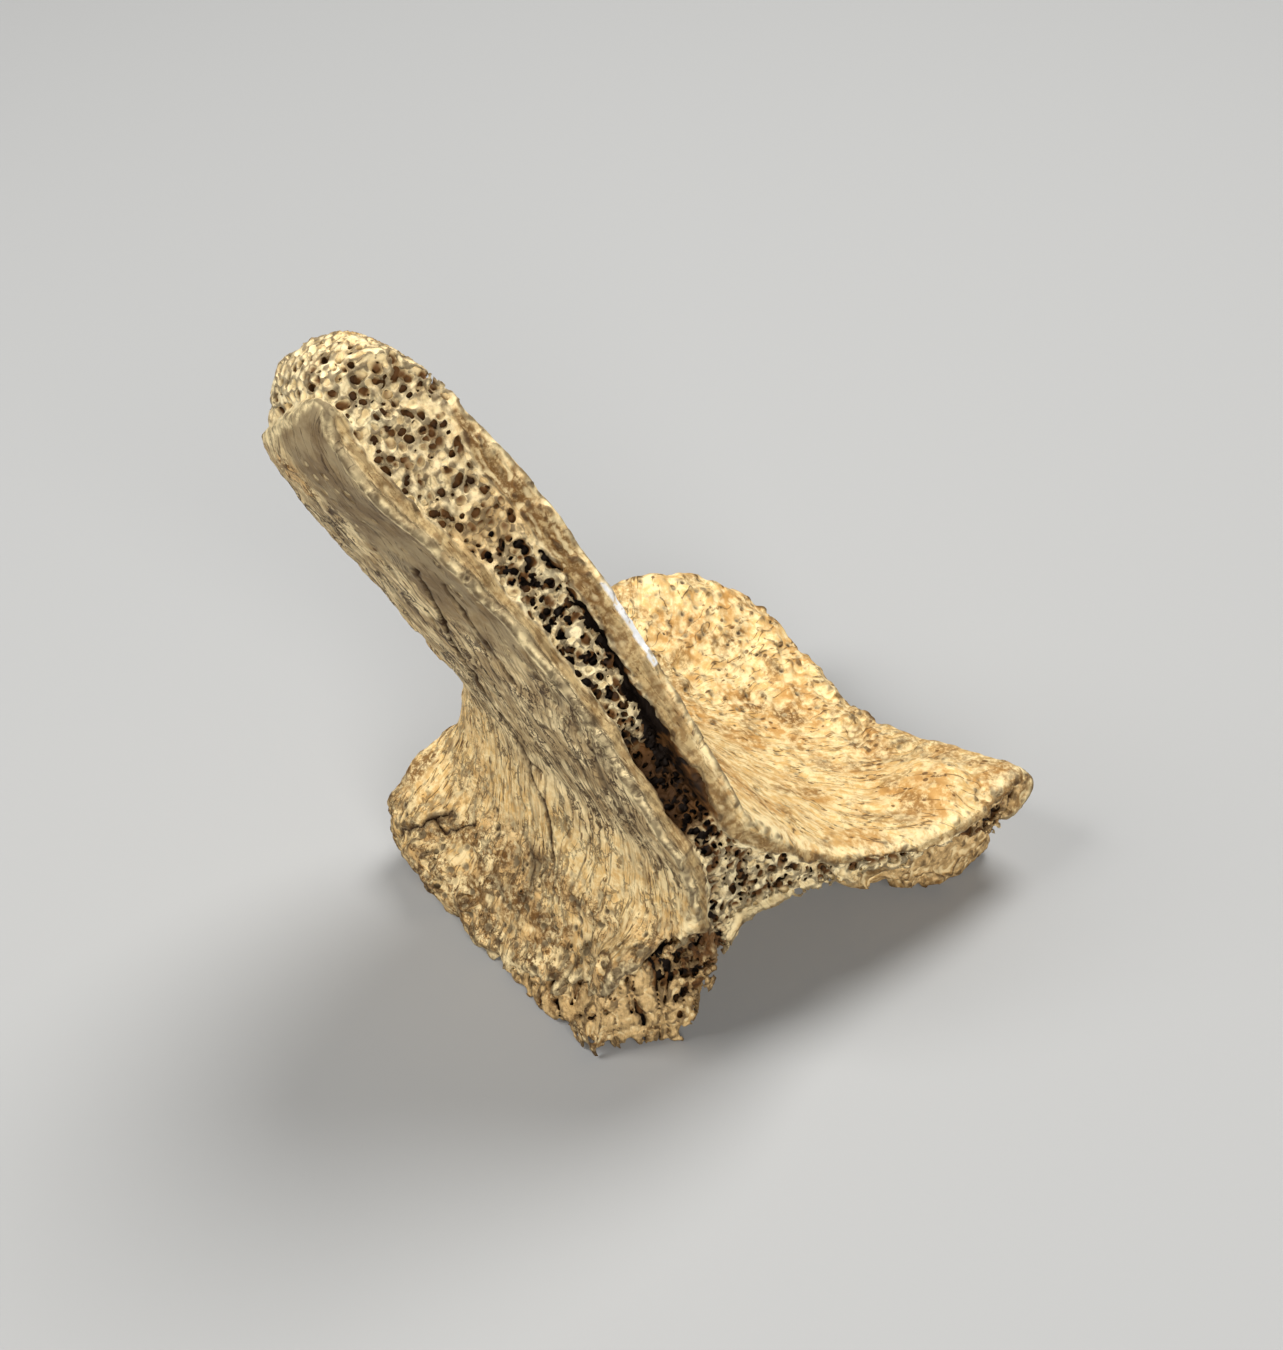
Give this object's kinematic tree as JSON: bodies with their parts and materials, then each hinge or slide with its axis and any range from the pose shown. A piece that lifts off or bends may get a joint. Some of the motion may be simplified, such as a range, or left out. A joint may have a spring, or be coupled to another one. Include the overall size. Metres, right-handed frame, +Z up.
{
  "type": "fossil cave bear vertebra",
  "caption": "Broken fossil cave bear vertebra: spinous process and laminae with articular processes, spongy bone bared along the break, lying on its side.",
  "frame": {"origin": "on the floor, under the middle of the bone's bounding box", "axes": "+Z up from the floor; +Y from the broken face back along the view in the picture; +X to the right of that view. The bone lies turned about 36 degrees about Z, rolled 21 degrees on its left side"},
  "size_m": [0.0932, 0.0706, 0.0904],
  "materials": {
    "weathered_bone": "dry, finely wrinkled and cracked fossil bone, grey-tan",
    "cream_bone": "dry, smooth fossil bone with fine pits, cream to orange",
    "stained_bone": "dry, splintered spongy fossil bone with brown stains"
  },
  "bodies": {
    "root": {"spinous_process": "weathered_bone", "left_lamina": "weathered_bone", "right_lamina": "cream_bone", "left_articular_process": "cream_bone", "right_articular_process": "cream_bone", "left_pedicle_root": "stained_bone", "right_pedicle_root": "stained_bone"}
  },
  "joints": []
}
